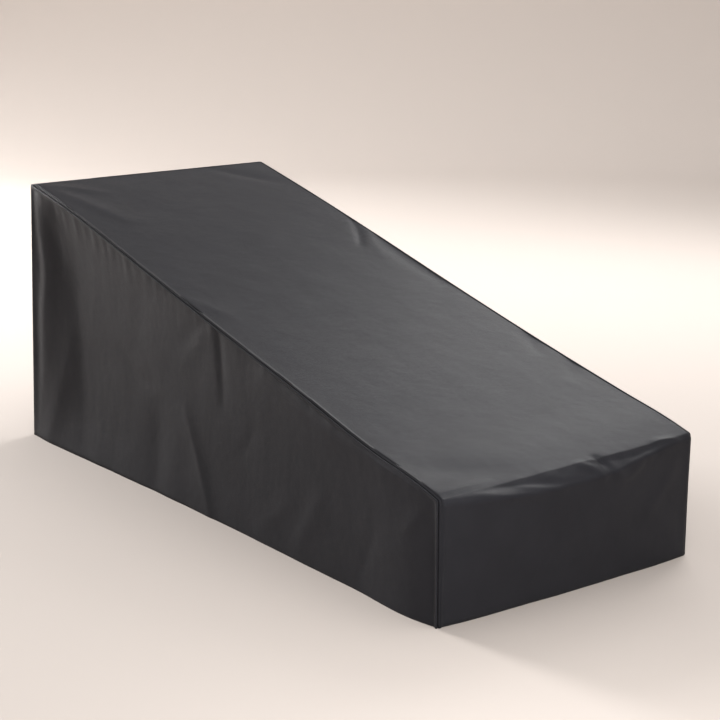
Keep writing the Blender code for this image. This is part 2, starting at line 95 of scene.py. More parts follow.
# The four upright seams: how far each end stands from a true box of LENGTH by WIDTH.
Post = namedtuple("Post", "side end top_out top_along top_rise hem_out hem_along")
POSTS = {
    "foot_left": Post(-1, -1, 0.000, 0.006, -0.004, -0.004, 0.002),
    "foot_right": Post(1, -1, 0.004, -0.004, 0.008, -0.003, 0.002),
    "head_left": Post(-1, 1, 0.004, -0.002, -0.004, HEM_FLARE, 0.016),
    "head_right": Post(1, 1, 0.016, -0.006, 0.004, HEM_FLARE + 0.003, 0.017),
}

# Crown of the slope seams over a straight line from head to foot.
Crown = namedtuple("Crown", "along left right")
CROWNS = (
    Crown(-1.00, 0.000, 0.000),
    Crown(-0.93, 0.003, 0.003),
    Crown(-0.75, -0.005, -0.001),
    Crown(-0.45, -0.001, -0.005),
    Crown(0.00, 0.000, -0.003),
    Crown(0.35, 0.005, 0.002),
    Crown(0.76, 0.009, 0.003),
    Crown(1.00, 0.000, 0.000),
)

# Hem of the long sides: how far it stands out past WIDTH / 2.
SideHem = namedtuple("SideHem", "along left right")
SIDE_HEMS = (
    SideHem(-1.00, -0.004, -0.003),
    SideHem(-0.90, 0.006, 0.003),
    SideHem(-0.70, 0.000, 0.003),
    SideHem(-0.50, 0.001, 0.004),
    SideHem(-0.05, 0.002, 0.001),
    SideHem(0.27, 0.011, 0.006),
    SideHem(0.50, 0.018, 0.010),
    SideHem(0.68, 0.025, 0.014),
    SideHem(0.92, HEM_FLARE + 0.003, HEM_FLARE),
    SideHem(1.00, HEM_FLARE, HEM_FLARE + 0.003),
)

# Hem of the two ends: how far it bows out past the line between its corners.
EndHem = namedtuple("EndHem", "across foot head")
END_HEMS = (
    EndHem(-1.00, 0.000, 0.000),
    EndHem(-0.86, 0.005, 0.002),
    EndHem(-0.50, 0.007, 0.004),
    EndHem(-0.07, 0.010, 0.002),
    EndHem(0.38, 0.009, 0.004),
    EndHem(0.74, 0.008, 0.002),
    EndHem(1.00, 0.000, 0.000),
)

# The soft fold where the top turns down at the foot: a tilted shoulder, widest in the middle.
Shoulder = namedtuple("Shoulder", "across drop bow")
SHOULDERS = (
    Shoulder(-1.00, 0.013, 0.010),
    Shoulder(-0.90, 0.012, 0.018),
    Shoulder(-0.74, 0.017, 0.030),
    Shoulder(-0.55, 0.023, 0.036),
    Shoulder(-0.30, 0.031, 0.038),
    Shoulder(0.00, 0.034, 0.038),
    Shoulder(0.28, 0.031, 0.036),
    Shoulder(0.50, 0.021, 0.027),
    Shoulder(0.76, 0.014, 0.015),
    Shoulder(1.00, 0.011, 0.005),
)

# Folds: ridges (rise > 0) and troughs (rise < 0) along a bent line on a panel. near and far are the
# widths to the left and right of the line as it runs, on a plot of its two coordinates. crisp is 0 for
# a round fold, 1 for a sharp one.
# Sides: (along, height). Top: (across, along). Front and back: (across, height).
Fold = namedtuple("Fold", "start bend end near far rise crisp")
LEFT_FOLDS = (
    # On the fan from the head corner: a rib near its top, and the wedge at its foot.
    Fold((0.930, 0.780), (0.845, 0.690), (0.790, 0.530), 0.026, 0.030, 0.0020, 0.1),
    Fold((0.800, 0.340), (0.840, 0.180), (0.905, 0.010), 0.055, 0.055, 0.0035, 0.3),
    # The dart under the slope seam, with a slanting roll behind it.
    Fold((-0.055, 0.545), (-0.064, 0.440), (-0.072, 0.335), 0.018, 0.036, -0.0045, 0.4),
    Fold((0.000, 0.520), (0.065, 0.462), (0.145, 0.395), 0.028, 0.028, 0.0010, 0.2),
    Fold((0.015, 0.545), (0.080, 0.505), (0.160, 0.450), 0.026, 0.030, -0.0010, 0.2),
    # The crease that runs down to the hem, and the soft troughs behind it.
    Fold((0.132, 0.265), (0.060, 0.160), (-0.018, 0.000), 0.060, 0.022, 0.0050, 0.9),
    Fold((0.275, 0.230), (0.278, 0.110), (0.272, 0.000), 0.050, 0.060, -0.0040, 0.2),
    Fold((0.500, 0.370), (0.400, 0.290), (0.310, 0.310), 0.035, 0.030, -0.0025, 0.3),
    # The long roll under the slope seam towards the foot.
    Fold((-0.290, 0.455), (-0.520, 0.360), (-0.900, 0.338), 0.060, 0.022, 0.0070, 0.2),
    # Slanting waves towards the foot.
    Fold((-0.270, 0.040), (-0.330, 0.090), (-0.400, 0.140), 0.035, 0.030, 0.0018, 0.3),
    Fold((-0.440, 0.040), (-0.480, 0.110), (-0.540, 0.200), 0.035, 0.030, 0.0024, 0.3),
    Fold((-0.230, 0.290), (-0.200, 0.250), (-0.160, 0.205), 0.025, 0.022, -0.0014, 0.3),
    Fold((-0.770, 0.180), (-0.740, 0.110), (-0.710, 0.030), 0.028, 0.026, -0.0018, 0.3),
    # By the foot seam: the dip, and a ridge out of the foot corner.
    Fold((-0.985, 0.305), (-0.981, 0.160), (-0.985, 0.000), 0.050, 0.014, -0.0080, 0.5),
    Fold((-0.970, 0.300), (-0.930, 0.250), (-0.880, 0.200), 0.024, 0.022, 0.0020, 0.4),
)
RIGHT_FOLDS = (
    Fold((0.980, 0.780), (0.930, 0.400), (0.980, 0.020), 0.040, 0.040, 0.0050, 0.4),
    Fold((0.880, 0.720), (0.720, 0.450), (0.700, 0.000), 0.070, 0.070, -0.0080, 0.3),
    Fold((0.250, 0.330), (0.220, 0.160), (0.170, 0.000), 0.045, 0.045, -0.0060, 0.4),
    Fold((-0.360, 0.430), (-0.560, 0.300), (-0.900, 0.300), 0.050, 0.050, -0.0070, 0.3),
    Fold((-0.955, 0.290), (-0.945, 0.160), (-0.955, 0.000), 0.035, 0.035, -0.0050, 0.3),
)
TOP_FOLDS = (
    # Out of the two head corners.
    Fold((-0.380, 0.960), (-0.320, 0.920), (-0.240, 0.860), 0.032, 0.030, 0.0030, 0.3),
    Fold((-0.385, 0.930), (-0.350, 0.820), (-0.290, 0.640), 0.036, 0.034, 0.0040, 0.3),
    Fold((0.230, 0.955), (0.290, 0.890), (0.365, 0.810), 0.034, 0.030, -0.0040, 0.3),
    # Off the right slope seam: the dent with its ridge, and the long dip below them.
    Fold((0.415, 0.450), (0.380, 0.355), (0.320, 0.280), 0.014, 0.016, -0.0045, 0.7),
    Fold((0.410, 0.370), (0.375, 0.290), (0.340, 0.200), 0.028, 0.026, 0.0020, 0.5),
    Fold((0.405, 0.300), (0.390, 0.150), (0.400, -0.020), 0.030, 0.030, -0.0035, 0.3),
    # Short ones along the two seams.
    Fold((-0.395, 0.100), (-0.360, 0.030), (-0.330, -0.050), 0.030, 0.030, 0.0020, 0.4),
    Fold((0.405, -0.380), (0.385, -0.430), (0.360, -0.480), 0.025, 0.025, -0.0040, 0.4),
    Fold((0.405, -0.560), (0.380, -0.600), (0.350, -0.630), 0.025, 0.025, -0.0040, 0.4),
    # By the left foot corner.
    Fold((-0.360, -0.880), (-0.300, -0.920), (-0.200, -0.940), 0.050, 0.050, -0.0060, 0.2),
    Fold((-0.390, -0.985), (-0.340, -0.990), (-0.260, -0.985), 0.022, 0.022, 0.0040, 0.4),
)
FRONT_FOLDS = (
    Fold((-0.388, 0.285), (-0.384, 0.150), (-0.388, 0.000), 0.085, 0.018, -0.0080, 0.3),
    Fold((-0.375, 0.285), (-0.350, 0.220), (-0.320, 0.120), 0.026, 0.026, 0.0040, 0.4),
    Fold((0.345, 0.240), (0.300, 0.200), (0.260, 0.160), 0.028, 0.026, 0.0030, 0.5),
    Fold((0.280, 0.140), (0.350, 0.070), (0.395, 0.010), 0.030, 0.030, 0.0015, 0.5),
    Fold((0.385, 0.290), (0.378, 0.150), (0.385, 0.000), 0.024, 0.024, -0.0010, 0.3),
)
# Crumples over the foot edge: (across, distance past the edge down the cloth).
SHOULDER_FOLDS = (
    Fold((-0.405, 0.002), (-0.350, 0.012), (-0.290, 0.014), 0.012, 0.020, 0.0030, 0.3),
    Fold((-0.330, 0.016), (-0.230, 0.036), (-0.130, 0.054), 0.009, 0.020, 0.0036, 0.4),
    Fold((-0.250, 0.004), (-0.165, 0.020), (-0.070, 0.038), 0.011, 0.014, -0.0030, 0.4),
    Fold((-0.190, 0.020), (-0.125, 0.036), (-0.060, 0.056), 0.009, 0.013, 0.0036, 0.4),
    Fold((-0.090, 0.014), (-0.040, 0.030), (0.010, 0.036), 0.012, 0.014, 0.0022, 0.4),
    Fold((0.012, 0.004), (0.040, 0.010), (0.048, 0.028), 0.014, 0.012, 0.0042, 0.3),
    Fold((0.052, 0.026), (0.064, 0.036), (0.072, 0.052), 0.016, 0.014, 0.0052, 0.3),
    Fold((0.082, -0.006), (0.096, 0.014), (0.108, 0.042), 0.012, 0.010, -0.0070, 0.6),
    Fold((0.104, 0.022), (0.138, 0.104), (0.215, 0.044), 0.010, 0.018, 0.0048, 0.5),
    Fold((0.100, 0.010), (0.170, 0.032), (0.280, 0.008), 0.016, 0.014, -0.0034, 0.3),
    Fold((0.280, -0.004), (0.315, 0.000), (0.360, 0.008), 0.012, 0.010, 0.0040, 0.5),
)
BACK_FOLDS = (
    Fold((-0.395, 0.760), (-0.350, 0.400), (-0.360, 0.000), 0.050, 0.050, -0.0070, 0.3),
    Fold((0.395, 0.760), (0.340, 0.420), (0.350, 0.000), 0.050, 0.050, -0.0060, 0.3),
    Fold((-0.120, 0.500), (-0.080, 0.250), (-0.090, 0.000), 0.060, 0.060, 0.0050, 0.3),
    Fold((0.140, 0.420), (0.160, 0.200), (0.150, 0.000), 0.050, 0.050, -0.0040, 0.3),
)

# The fan from the left head corner, height by height. Along the panel the cloth sinks in by depth as
# far as start, climbs to a crest, falls back a little to a dip, and climbs to the head seam.
Fan = namedtuple("Fan", "height start crest dip depth fall back")
LEFT_FAN = (
    Fan(0.00, 0.672, 0.955, 0.985, 0.005, 0.0000, 0.0010),
    Fan(0.05, 0.688, 0.960, 0.982, 0.015, 0.0000, 0.0020),
    Fan(0.12, 0.706, 0.955, 0.980, 0.027, 0.0005, 0.0040),
    Fan(0.25, 0.731, 0.940, 0.978, 0.036, 0.0020, 0.0060),
    Fan(0.40, 0.756, 0.940, 0.976, 0.038, 0.0022, 0.0060),
    Fan(0.55, 0.798, 0.928, 0.958, 0.034, 0.0018, 0.0080),
    Fan(0.68, 0.866, 0.952, 0.978, 0.022, 0.0016, 0.0050),
    Fan(0.78, 0.900, 0.960, 0.982, 0.005, 0.0005, 0.0020),
)
FAN_REACH = -0.850       # the cloth starts to sink in here, towards the foot
FAN_SOFTNESS = (0.100, 0.025, 0.012, 0.010)  # of the bends at the reach, start, crest and dip

# Short gathers under the slope seam on the left: where, how far down they reach, and how high.
Gather = namedtuple("Gather", "along reach rise")
LEFT_GATHERS = (
    Gather(0.893, 0.030, 0.00040),
    Gather(0.872, 0.034, 0.00052),
    Gather(0.849, 0.040, 0.00056),
    Gather(0.832, 0.034, 0.00048),
    Gather(0.803, 0.055, 0.00096),
    Gather(0.737, 0.075, 0.00120),
    Gather(0.684, 0.045, 0.00048),
    Gather(0.632, 0.060, 0.00104),
    Gather(0.588, 0.040, 0.00048),
    Gather(0.540, 0.055, 0.00072),
    Gather(0.455, 0.070, 0.00088),
    Gather(0.398, 0.060, 0.00080),
    Gather(0.318, 0.050, 0.00056),
    Gather(0.228, 0.055, 0.00048),
    Gather(-0.150, 0.060, 0.00056),
)
GATHER_TOP_LEAN = 0.002  # a gather's upper end stands this far towards the head
GATHER_LOW_LEAN = 0.004  # and its lower end this far towards the foot
GATHER_FOOT_WIDTH = 0.028  # width of a gather towards the foot
GATHER_HEAD_WIDTH = 0.011  # and towards the head
GATHER_CRISP = 0.3       # as in a Fold

# Between its gathers the cloth pulls in under the slope seam, from PUCKER_FOOT to PUCKER_HEAD.
PUCKER_DEPTH = 0.0060    # how far it pulls in
PUCKER_REACH = 0.022     # most of it is pulled in within this distance of the seam
PUCKER_RETURN = 0.250    # and it comes back out over this much longer one
PUCKER_FOOT = -0.10
PUCKER_FOOT_EASE = 0.50  # it grows over this length from PUCKER_FOOT on
PUCKER_HEAD = 0.94
PUCKER_HEAD_EASE = 0.10  # and ends over this length before PUCKER_HEAD

# Unevenness of the cloth, as layers of noise: how high, how large across and down the panel, and what
# each layer adds to its panel's seed.
Layer = namedtuple("Layer", "rise across down seed")
WAVES = (Layer(0.0012, 0.160, 0.160, 0), Layer(0.0006, 0.070, 0.070, 1))
CRUMPLE = Layer(0.00022, 0.022, 0.030, 2)
WALL_STRETCH = 2.2       # waves of the sides and back are drawn out downwards this much
TOP_STRETCH = 1.3        # and those of the top and front
STITCHES = (Layer(0.0015, 0.032, 0.090, 5), Layer(0.0006, 0.017, 0.060, 6))
STITCH_REACHES = (0.032, 0.016)  # each layer of stitches fades over this distance below the seam
SHOULDER_CRUMPLE = Layer(0.0024, 0.050, 0.030, 7)
SHOULDER_MIDDLE = 0.022  # the shoulder's crumple is fullest this far past the foot edge
SHOULDER_SPREAD = 0.026  # and fades over this distance before and after
PUCKER_CHANGE = Layer(0.9, 0.045, 0.200, 8)  # share by which the pucker changes along the seam
PUCKER_CHANGE_REACH = 0.050  # and that change fades over this distance below it
TOP_SEED, LEFT_SEED, RIGHT_SEED, BACK_SEED = 11, 21, 31, 41

# The cloth's colour and surface.
CLOTH_DARK = (0.0182, 0.0182, 0.0213, 1.0)
CLOTH_LIGHT = (0.0218, 0.0218, 0.0255, 1.0)
CLOTH_ROUGHNESS = 0.40
CLOTH_GLOSS = 0.04
CLOTH_SHEEN = 0.02
CLOTH_SHEEN_ROUGHNESS = 0.5
WEAVE_PITCH = 0.0011     # from one thread to the next but one
WEAVE_HEIGHT = 0.00012
WRINKLE_HEIGHT = 0.002

# The stage, its light and the viewpoint.
FLOOR_RADIUS = 8.5
WALL_HEIGHT = 5.0
COVE_RADIUS = 1.6        # bend between the floor and the round wall
COVE_STEPS = 12
FLOOR_SEGMENTS = 96
FLOOR_COLOUR = (0.465, 0.416, 0.382, 1.0)
FLOOR_ROUGHNESS = 0.9
FLOOR_GLOSS = 0.2
WORLD_STRENGTH = 0.12
SKY_TILT = (math.radians(12), math.radians(10), 0.0)
SKY_SPREAD = math.radians(70)
SKY_STRENGTH = 2.2
Lamp = namedtuple("Lamp", "name place target size watts")
SOFT_LIGHTS = (
    Lamp("rear_left_low", (-1.5, 7.5, 1.5), (-0.42, 0.0, 0.3), (1.8, 1.4), 650.0),
    Lamp("rear_left_high", (-1.5, 7.2, 4.4), (-0.42, 0.0, 0.3), (2.0, 2.0), 420.0),
    Lamp("right", (3.4, 1.4, 3.2), (0.0, -0.5, 0.4), (2.5, 2.5), 145.0),
    Lamp("right_rear", (2.6, 3.4, 3.4), (0.0, 0.0, 0.4), (2.5, 2.5), 10.0),
    Lamp("front", (-1.0, -2.3, 0.8), (0.0, -1.0, 0.2), (1.2, 1.2), 23.0),
    Lamp("backdrop", (2.0, 3.6, 4.5), (4.2, 7.5, 1.0), (3.0, 2.0), 92.0),
)
CAMERA_PLACE = (-2.7285, -3.8234, 1.5278)
CAMERA_PITCH = 13.73     # degrees below level
CAMERA_YAW = 36.6        # degrees from +Y towards +X
CAMERA_LENS = 85.0       # millimetres, as is the sensor
CAMERA_SENSOR = 36.0


# ---------------------------------------------------------------- curves and noise

def unit(vector):
    return vector / np.linalg.norm(vector)


def between(start, end, share):
    return start + (end - start) * share


def steps_between(start, end, count):
    """Evenly spaced points after start, up to and including end."""
    return [between(start, end, (step + 1) / count) for step in range(count)]


def smooth_curve(places, values, at):
    """Read a smooth curve through the given points, held level past its two ends."""
    places = np.asarray(places, float)
    values = np.asarray(values, float)
    at = np.clip(at, places[0], places[-1])
    slopes = np.gradient(values, places)
    piece = np.clip(np.searchsorted(places, at) - 1, 0, len(places) - 2)
    span = places[piece + 1] - places[piece]
    t = (at - places[piece]) / span
    low = (1 + 2 * t) * (1 - t) ** 2 * values[piece] + t * (1 - t) ** 2 * span * slopes[piece]
    high = t * t * (3 - 2 * t) * values[piece + 1] - t * t * (1 - t) * span * slopes[piece + 1]
    return low + high


def column(table, place, value, at):
    """Read one named column of a table at a place."""
    places = [getattr(row, place) for row in table]
    values = [getattr(row, value) for row in table]
    return smooth_curve(places, values, at)


def ease(distance, reach):
    """0 at no distance, and smoothly up to 1 from the given reach on."""
    t = np.clip(distance / reach, 0.0, 1.0)
    return t * t * (3 - 2 * t)


def bent(distance, softness):
    """0 before a bend and the distance past it after, with the bend itself rounded."""
    return 0.5 * (distance + np.sqrt(distance ** 2 + softness ** 2))


def noise(u, v, seed):
    """Smooth gradient noise over a plane, between about -0.7 and 0.7, with features one unit apart."""
    size = 64
    angles = np.random.default_rng(seed).uniform(0.0, 2 * math.pi, (size, size))
    gx, gy = np.cos(angles), np.sin(angles)
    iu, iv = np.floor(u).astype(int), np.floor(v).astype(int)
    fu, fv = u - iu, v - iv
    su, sv = fu ** 3 * (fu * (fu * 6 - 15) + 10), fv ** 3 * (fv * (fv * 6 - 15) + 10)

    def corner(du, dv):
        a, b = (iu + du) % size, (iv + dv) % size
        return gx[a, b] * (fu - du) + gy[a, b] * (fv - dv)

    low = corner(0, 0) * (1 - su) + corner(1, 0) * su
    high = corner(0, 1) * (1 - su) + corner(1, 1) * su
    return low * (1 - sv) + high * sv


def layered(layer, u, v, seed, stretch=1.0):
    """One layer of unevenness, drawn out along v by stretch."""
    return layer.rise * noise(u / layer.across, v / (layer.down * stretch), seed + layer.seed)


# ---------------------------------------------------------------- folds

def fold_line(fold):
    """Points along a fold's bent line."""
    start, bend, end = (np.array(p) for p in (fold.start, fold.bend, fold.end))
    steps = np.linspace(0.0, 1.0, FOLD_SAMPLES + 1)
    return [(1 - t) ** 2 * start + 2 * t * (1 - t) * bend + t * t * end for t in steps]


def nearest_on(line, u, v):
    """How far each point is from a line, how far along the line that is, and how far to its left."""
    away = np.full(u.shape, np.inf)
    place = np.zeros(u.shape)
    left = np.zeros(u.shape)
    for index, (a, b) in enumerate(zip(line[:-1], line[1:])):
        along = b - a
        t = ((u - a[0]) * along[0] + (v - a[1]) * along[1]) / along.dot(along)
        t = np.clip(t, 0.0, 1.0)
        du, dv = u - a[0] - t * along[0], v - a[1] - t * along[1]
        here = np.hypot(du, dv)
        closer = here < away
        away = np.where(closer, here, away)
        place = np.where(closer, (index + t) / FOLD_SAMPLES, place)
        left = np.where(closer, (along[0] * dv - along[1] * du) / np.linalg.norm(along), left)
    return away, place, left


def fold_section(fold, away, left):
    """Height across a fold whose line has height 1: round or sharp, with its own width on each side."""
    mean_width = 0.5 * (fold.near + fold.far)
    on_left = 0.5 + 0.5 * np.tanh(left / mean_width)
    width = between(fold.far, fold.near, on_left)
    round_shape = np.exp(-(away / width) ** 2)
    tip = SHARP_TIP * width
    sharp_shape = np.exp(-(np.sqrt(away ** 2 + tip ** 2) - tip) * SHARP_FALL / width)
    return round_shape * (1 - fold.crisp) + sharp_shape * fold.crisp


def relief(folds, u, v):
    """Sum of the folds at panel coordinates u, v."""
    total = np.zeros_like(u)
    for fold in folds:
        away, place, left = nearest_on(fold_line(fold), u, v)
        half_wave = math.pi * (FOLD_TAPER + (1 - 2 * FOLD_TAPER) * place)
        total += fold.rise * np.sqrt(np.sin(half_wave)) * fold_section(fold, away, left)
    return total


def drape(u, v, seed, stretch):
    """Small unevenness of hanging cloth: long soft waves, and a finer crumple over them."""
    waves = sum(layered(layer, u, v, seed, stretch) for layer in WAVES)
    return waves + layered(CRUMPLE, u, v, seed)


def stitched(along, below, seed):
    """Fine unevenness of the cloth right below a seam."""
    total = np.zeros_like(along)
    for layer, reach in zip(STITCHES, STITCH_REACHES):
        total += layered(layer, along, below, seed) * np.exp(-below / reach)
    return total


def gathered(gathers, along, below, seed):
    """Gathers that run down from the slope seam, and the cloth pulled in between them."""
    if not gathers:
        return np.zeros_like(along)
    folds = []
    for gather in gathers:
        start = (gather.along + GATHER_TOP_LEAN, 0.0)
        middle = (gather.along, 0.5 * gather.reach)
        end = (gather.along - GATHER_LOW_LEAN, gather.reach)
        widths = (GATHER_FOOT_WIDTH, GATHER_HEAD_WIDTH)
        folds.append(Fold(start, middle, end, *widths, gather.rise, GATHER_CRISP))
    change = layered(PUCKER_CHANGE, along, below, seed) * np.exp(-below / PUCKER_CHANGE_REACH)
    spread = ease(along - PUCKER_FOOT, PUCKER_FOOT_EASE) * ease(PUCKER_HEAD - along, PUCKER_HEAD_EASE)
    pulled_in = (1 - np.exp(-below / PUCKER_REACH)) * np.exp(-below / PUCKER_RETURN)
    return relief(folds, along, below) - PUCKER_DEPTH * (1 + change) * spread * pulled_in


def fanned(rows, y, z):
    """The fan of the head corner, as bends along the panel whose places change with the height."""
    if not rows:
        return np.zeros_like(y)
    start, crest, dip, depth, fall, back = (column(rows, "height", key, z) for key in Fan._fields[1:])
    places = (FAN_REACH, start, crest, dip)
    slopes = (-depth / (start - FAN_REACH), (depth + fall - back) / (crest - start),
              -fall / (dip - crest), back / (LENGTH / 2 - dip))
    total = np.zeros_like(y)
    before = 0.0
    for place, slope, softness in zip(places, slopes, FAN_SOFTNESS):
        total += (slope - before) * bent(y - place, softness)
        before = slope
    return total


# ---------------------------------------------------------------- the seams

def post_top(name):
    post = POSTS[name]
    mean_height = HEAD_HEIGHT if post.end > 0 else FOOT_HEIGHT
    x = post.side * (WIDTH / 2 + post.top_out)
    y = post.end * (LENGTH / 2 + post.top_along)
    return np.array((x, y, mean_height + post.top_rise))


def post_hem(name):
    post = POSTS[name]
    x = post.side * (WIDTH / 2 + post.hem_out)
    y = post.end * (LENGTH / 2 + post.hem_along)
    return np.array((x, y, 0.0))


def side_name(side):
    return "left" if side < 0 else "right"


def slope_point(side, place):
    """Point of a slope seam, place -1 at the foot corner and 1 at the head corner."""
    foot = post_top("foot_" + side_name(side))
    head = post_top("head_" + side_name(side))
    point = between(foot, head, (place + 1) / 2)
    point[2] += column(CROWNS, "along", side_name(side), place)
    return point


# A seam is a list of stations: its point, the way it runs, and the normals of the two panels there.
Station = namedtuple("Station", "point run first second")


def top_outward(run):
    """Outward normal of the top or front panel, from the way its side seam runs towards the hem."""
    return unit(np.cross(run, X_AXIS))


def corner_arc(before, corner, after, radius):
    """Points of a round bend between two straight lines, from the first line to the second."""
    one, two = unit(before - corner), unit(after - corner)
    half = math.acos(np.clip(one.dot(two), -1.0, 1.0)) / 2
    reach = radius / math.tan(half)
    centre = corner + unit(one + two) * radius / math.sin(half)
    start, end = corner + one * reach - centre, corner + two * reach - centre
    sweep = math.pi - 2 * half
    points = []
    for step in range(CORNER_POINTS):
        t = step / (CORNER_POINTS - 1)
        weights = math.sin((1 - t) * sweep) / math.sin(sweep), math.sin(t * sweep) / math.sin(sweep)
        points.append(centre + start * weights[0] + end * weights[1])
    return points


def slope_seam(side, places, shares):
    """Seam from the head corner down the slope, round the foot corner and down to the hem.

    places run from head to foot; shares are those of the foot post, from its rounded corner to the hem.
    The first normal belongs to the side panel and the second to the top and front panel.
    """
    foot = post_top("foot_" + side_name(side))
    hem = post_hem("foot_" + side_name(side))
    slope = [slope_point(side, place) for place in places]
    arc = corner_arc(slope[-1], foot, hem, FOOT_CORNER_RADIUS)
    points = slope + arc + [between(arc[-1], hem, share) for share in shares]
    post_start = len(slope) + len(arc) - 1
    stations = []
    for index, point in enumerate(points):
        before = points[max(index - 1, 0)]
        after = points[min(index + 1, len(points) - 1)]
        run = unit(after - before)
        if index >= post_start:
            run = unit(hem - foot)
        outward = top_outward(run)
        if index == len(points) - 1:
            run = -Z_AXIS
        stations.append(Station(point, run, X_AXIS * side, outward))
    return stations


def post_shares(side, places, heights):
    """Heights on a foot post as shares of its straight part below the rounded corner."""
    leave = slope_seam(side, places, [1.0])[len(places) + CORNER_POINTS - 1].point[2]
    return [max(POST_START, (leave - height) / leave) if height > 0 else 1.0 for height in heights]


def head_post_seam(side, shares):
    """Seam from the head corner down to the hem; the first normal is the side panel's."""
    top = post_top("head_" + side_name(side))
    hem = post_hem("head_" + side_name(side))
    stations = []
    for share in shares:
        run = -Z_AXIS if share == 1.0 else unit(hem - top)
        stations.append(Station(between(top, hem, share), run, X_AXIS * side, Y_AXIS))
    return stations


def head_top_seam(across):
    """Seam along the top of the back, from left to right; the first normal is the top panel's."""
    left = post_top("head_left")
    right = post_top("head_right")
    just_below, corner = slope_point(-1, 0.9), slope_point(-1, 1.0)
    outward = top_outward(unit(just_below - corner))
    return [Station(between(left, right, (place + 1) / 2), X_AXIS, outward, Y_AXIS) for place in across]


def swapped(stations):
    """The same seam with its two panels changed over."""
    return [Station(s.point, s.run, s.second, s.first) for s in stations]


def lip_steps(own, other, radius):
    """(depth below the panel, distance from the seam plane) of the cloth as it turns in at a seam."""
    turn = math.acos(np.clip(own.dot(other), -1.0, 1.0))
    half = (math.pi - turn) / 2
    centre_off = SEAM_GAP / 2 + radius
    centre_in = (radius + centre_off * math.cos(half)) / math.sin(half)
    first = math.pi / 2 + half
    sweep = 1.5 * math.pi - first
    pairs = []
    for step in range(LIP_STEPS + 1):
        angle = first + sweep * step / LIP_STEPS
        pairs.append((centre_in + radius * math.cos(angle), centre_off + radius * math.sin(angle)))
    pairs.append((centre_in + SEAM_ALLOWANCE, SEAM_GAP / 2))
    return [(inward * math.sin(half) - off * math.cos(half), off) for inward, off in pairs]


def lip_points(station, radius):
    """Points of the turned-in edge at one station of a seam, for the first normal's panel."""
    plane = unit(station.first - station.second)
    matrix = np.array((station.first, plane, station.run))
    steps = lip_steps(station.first, station.second, radius)
    return [station.point + np.linalg.solve(matrix, (-depth, off, 0.0)) for depth, off in steps]


def corner_points(one, two, radius):
    """Points of the turned-in edge where two seams of one panel meet."""
    plane_one = unit(one.first - one.second)
    plane_two = unit(two.first - two.second)
    matrix = np.array((one.first, plane_one, plane_two))
    steps_one = lip_steps(one.first, one.second, radius)
    steps_two = lip_steps(two.first, two.second, radius)
    points = []
    for (depth_one, off_one), (depth_two, off_two) in zip(steps_one, steps_two):
        depth = (depth_one + depth_two) / 2
        points.append(one.point + np.linalg.solve(matrix, (-depth, off_one, off_two)))
    return points


def sewn_edge(seams, radius):
    """Lip points round a panel's seams in order; where one seam ends the next begins."""
    rows = []
    for index, seam in enumerate(seams):
        inner = list(seam)
        if index > 0:
            rows.append(corner_points(seams[index - 1][-1], seam[0], radius))
            inner = inner[1:]
        if index < len(seams) - 1:
            inner = inner[:-1]
        rows += [lip_points(station, radius) for station in inner]
    return rows


# ---------------------------------------------------------------- mesh lines and sheets

def mesh_lines(length, step):
    """Distances of mesh lines along a length: one at each end, then evenly between the first ones."""
    count = max(1, round((length - 2 * LIP_CELL) / step))
    inner = np.linspace(LIP_CELL, length - LIP_CELL, count + 1)
    return np.concatenate(((0.0,), inner, (length,)))


def slope_places():
    """Places down the slope seam, from the head corner to just before the foot corner."""
    lines = mesh_lines(LENGTH, CELL)
    return 1.0 - 2.0 * lines[:-2] / LENGTH


def across_places(cell):
    """Places across the cover, from -1 at the left seam to 1 at the right one."""
    return mesh_lines(WIDTH, cell) * 2 / WIDTH - 1


def wall_shares(count, height):
    """Shares of a wall's height from its top seam to the hem, closer together near the seam."""
    graded = np.linspace(0.0, 1.0, count) ** ROW_GRADING
    first = LIP_CELL / height
    return np.concatenate(((0.0,), first + (1.0 - first) * graded))


def sewn_border(rows, columns):
    """Grid places along the sewn edges: up the left, along the top and down the right."""
    left = [(r, 0) for r in range(rows - 1, -1, -1)]
    top = [(0, c) for c in range(1, columns)]
    right = [(r, columns - 1) for r in range(1, rows)]
    return left + top + right


def turn_in(sheet, verts, lips, spots):
    """Add the turned-in edges to a grid of points; spots holds each point's place on the cloth."""
    strands = []
    for (r, c), points in zip(sewn_border(len(verts), len(verts[0])), lips):
        strand = [verts[r][c]]
        strand[0].co = points[0]
        for before, point in zip(points[:-1], points[1:]):
            strand.append(sheet.verts.new(point))
            spots[strand[-1]] = spots[strand[-2]] + np.linalg.norm(point - before)
        strands.append(strand)
    for one, two in zip(strands[:-1], strands[1:]):
        for level in range(len(one) - 1):
            sheet.faces.new((one[level], two[level], two[level + 1], one[level + 1]))


